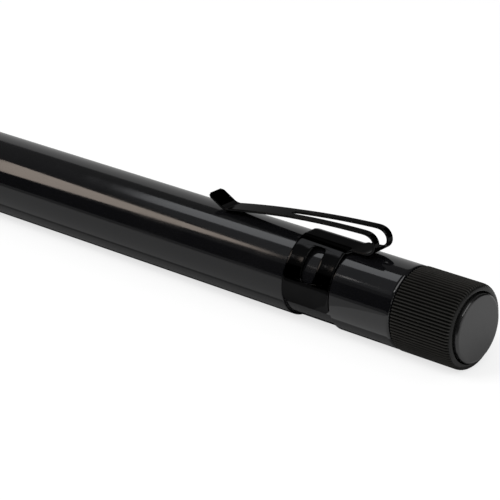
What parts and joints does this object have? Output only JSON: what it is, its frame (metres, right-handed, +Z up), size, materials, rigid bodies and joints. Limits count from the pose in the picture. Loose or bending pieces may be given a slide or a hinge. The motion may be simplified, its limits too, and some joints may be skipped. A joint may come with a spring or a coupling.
{
  "type": "gooseneck work light",
  "caption": "Slim battery work light: black barrel with a pocket clip, screwed knurled tail cap and push switch, and a small lamp head on a ribbed flexible neck.",
  "frame": {"origin": "middle of the footprint, at the surface the light lies on", "axes": "+Z up through the clip side, +X along the barrel towards the tail, -Y the side the neck swings to"},
  "size_m": [0.3246, 0.154, 0.0229],
  "materials": {
    "barrel_black": "gloss black anodised",
    "ferrule_steel": "satin",
    "insulator": "moulded, satin",
    "brass": "turned",
    "cell_sleeve": "plain sleeve, no print",
    "lead": "insulated wire",
    "clip_black": "gloss black spring steel",
    "spring_steel": "bright wire",
    "insert_metal": "turned",
    "rubber_seal": "matt",
    "switch_plastic": "moulded",
    "cap_black": "matt black, straight knurl",
    "button_grey": "satin charcoal",
    "neck_black": "satin black wound steel",
    "board": "white board",
    "led": "phosphor dome",
    "reflector": "bright plated",
    "lens_clear": "clear"
  },
  "bodies": {
    "barrel": {"barrel_tube": "barrel_black", "nose_cone": "barrel_black", "neck_ferrule": "ferrule_steel", "front_insulator": "insulator", "front_contact": "brass", "battery_front": "cell_sleeve", "battery_rear": "cell_sleeve", "neck_lead": "lead"},
    "clip": {"clip_band": "clip_black"},
    "clip_arm": {"clip_arm": "clip_black"},
    "tail_spring": {"battery_spring": "spring_steel"},
    "tail_cap": {"tail_cap": "cap_black", "tail_insert": "insert_metal", "tail_o_ring": "rubber_seal", "switch_contact": "brass", "switch_body": "switch_plastic", "switch_spring": "spring_steel"},
    "button": {"push_button": "button_grey", "switch_plunger": "brass"},
    "neck_link_01": {"neck_link_01": "neck_black"},
    "neck_link_02": {"neck_link_02": "neck_black"},
    "neck_link_03": {"neck_link_03": "neck_black"},
    "neck_link_04": {"neck_link_04": "neck_black"},
    "neck_link_05": {"neck_link_05": "neck_black"},
    "neck_link_06": {"neck_link_06": "neck_black"},
    "neck_link_07": {"neck_link_07": "neck_black"},
    "neck_link_08": {"neck_link_08": "neck_black"},
    "neck_link_09": {"neck_link_09": "neck_black"},
    "neck_link_10": {"neck_link_10": "neck_black"},
    "neck_link_11": {"neck_link_11": "neck_black"},
    "neck_link_12": {"neck_link_12": "neck_black"},
    "neck_link_13": {"neck_link_13": "neck_black"},
    "neck_link_14": {"neck_link_14": "neck_black"},
    "neck_link_15": {"neck_link_15": "neck_black"},
    "head": {"head_ferrule": "ferrule_steel", "head_shell": "barrel_black", "led_board": "board", "led_emitter": "led", "reflector": "reflector", "lens_o_ring": "rubber_seal", "lens": "lens_clear", "lens_bezel": "barrel_black"}
  },
  "joints": [
    {"name": "clip_swivel", "type": "hinge", "parent": "barrel", "child": "clip", "pos_m": [0.12632, 0.06822, 0.0088], "axis": [1, 0, 0], "continuous": true},
    {"name": "clip_flex", "type": "hinge", "parent": "clip", "child": "clip_arm", "pos_m": [0.13647, 0.06822, 0.01785], "axis": [0, 1, 0], "range_deg": [0, 7], "stiffness_Nm_per_rad": 0.5, "springref_deg": -2.86},
    {"name": "cap_travel", "type": "slide", "parent": "barrel", "child": "tail_spring", "axis": [1, 0, 0], "range_m": [0, 0.00601]},
    {"name": "cap_turn", "type": "hinge", "parent": "tail_spring", "child": "tail_cap", "pos_m": [0.14707, 0.06822, 0.0088], "axis": [1, 0, 0], "range_deg": [0, 2160]},
    {"name": "button_press", "type": "slide", "parent": "tail_cap", "child": "button", "axis": [-1, 0, 0], "range_m": [0, 0.0015], "stiffness_N_per_m": 800, "springref_m": -0.0012, "deforming": ["switch_spring"]},
    {"name": "neck_swing_01", "type": "hinge", "parent": "barrel", "child": "neck_link_01", "pos_m": [-0.00123, 0.06822, 0.0088], "axis": [0, -0.0181, 0.9998], "range_deg": [-24, 6], "deforming": ["neck_lead"]},
    {"name": "neck_nod_02", "type": "hinge", "parent": "neck_link_01", "child": "neck_link_02", "pos_m": [-0.01426, 0.06616, 0.00876], "axis": [-0.1564, 0.9875, 0.0179], "range_deg": [-15, 15], "deforming": ["neck_lead"]},
    {"name": "neck_swing_03", "type": "hinge", "parent": "neck_link_02", "child": "neck_link_03", "pos_m": [-0.0273, 0.06409, 0.00873], "axis": [0, -0.0181, 0.9998], "range_deg": [-24, 6], "deforming": ["neck_lead"]},
    {"name": "neck_nod_04", "type": "hinge", "parent": "neck_link_03", "child": "neck_link_04", "pos_m": [-0.03986, 0.06001, 0.00865], "axis": [-0.309, 0.9509, 0.0172], "range_deg": [-15, 15], "deforming": ["neck_lead"]},
    {"name": "neck_swing_05", "type": "hinge", "parent": "neck_link_04", "child": "neck_link_05", "pos_m": [-0.05241, 0.05594, 0.00858], "axis": [0, -0.0181, 0.9998], "range_deg": [-24, 6], "deforming": ["neck_lead"]},
    {"name": "neck_nod_06", "type": "hinge", "parent": "neck_link_05", "child": "neck_link_06", "pos_m": [-0.06417, 0.04994, 0.00847], "axis": [-0.454, 0.8909, 0.0161], "range_deg": [-15, 15], "deforming": ["neck_lead"]},
    {"name": "neck_swing_07", "type": "hinge", "parent": "neck_link_06", "child": "neck_link_07", "pos_m": [-0.07593, 0.04395, 0.00836], "axis": [0, -0.0181, 0.9998], "range_deg": [-24, 6], "deforming": ["neck_lead"]},
    {"name": "neck_nod_08", "type": "hinge", "parent": "neck_link_07", "child": "neck_link_08", "pos_m": [-0.08661, 0.03619, 0.00822], "axis": [-0.5878, 0.8089, 0.0147], "range_deg": [-15, 15], "deforming": ["neck_lead"]},
    {"name": "neck_swing_09", "type": "hinge", "parent": "neck_link_08", "child": "neck_link_09", "pos_m": [-0.09729, 0.02844, 0.00808], "axis": [0, -0.0181, 0.9998], "range_deg": [-24, 6], "deforming": ["neck_lead"]},
    {"name": "neck_nod_10", "type": "hinge", "parent": "neck_link_09", "child": "neck_link_10", "pos_m": [-0.10662, 0.0191, 0.00791], "axis": [-0.7071, 0.707, 0.0128], "range_deg": [-15, 15], "deforming": ["neck_lead"]},
    {"name": "neck_swing_11", "type": "hinge", "parent": "neck_link_10", "child": "neck_link_11", "pos_m": [-0.11596, 0.00977, 0.00774], "axis": [0, -0.0181, 0.9998], "range_deg": [-24, 6], "deforming": ["neck_lead"]},
    {"name": "neck_nod_12", "type": "hinge", "parent": "neck_link_11", "child": "neck_link_12", "pos_m": [-0.12372, -0.0009, 0.00755], "axis": [-0.809, 0.5877, 0.0107], "range_deg": [-15, 15], "deforming": ["neck_lead"]},
    {"name": "neck_swing_13", "type": "hinge", "parent": "neck_link_12", "child": "neck_link_13", "pos_m": [-0.13147, -0.01158, 0.00735], "axis": [0, -0.0181, 0.9998], "range_deg": [-24, 6], "deforming": ["neck_lead"]},
    {"name": "neck_nod_14", "type": "hinge", "parent": "neck_link_13", "child": "neck_link_14", "pos_m": [-0.13747, -0.02334, 0.00714], "axis": [-0.891, 0.4539, 0.0082], "range_deg": [-15, 15], "deforming": ["neck_lead"]},
    {"name": "neck_swing_15", "type": "hinge", "parent": "neck_link_14", "child": "neck_link_15", "pos_m": [-0.14346, -0.0351, 0.00693], "axis": [0, -0.0181, 0.9998], "range_deg": [-24, 6], "deforming": ["neck_lead"]},
    {"name": "neck_nod_16", "type": "hinge", "parent": "neck_link_15", "child": "head", "pos_m": [-0.14754, -0.04765, 0.0067], "axis": [-0.9511, 0.309, 0.0056], "range_deg": [-15, 15], "deforming": ["neck_lead"]}
  ],
  "couplings": [
    {"joint": "cap_travel", "follows": "cap_turn", "m_per_rad": 0.00015915}
  ]
}
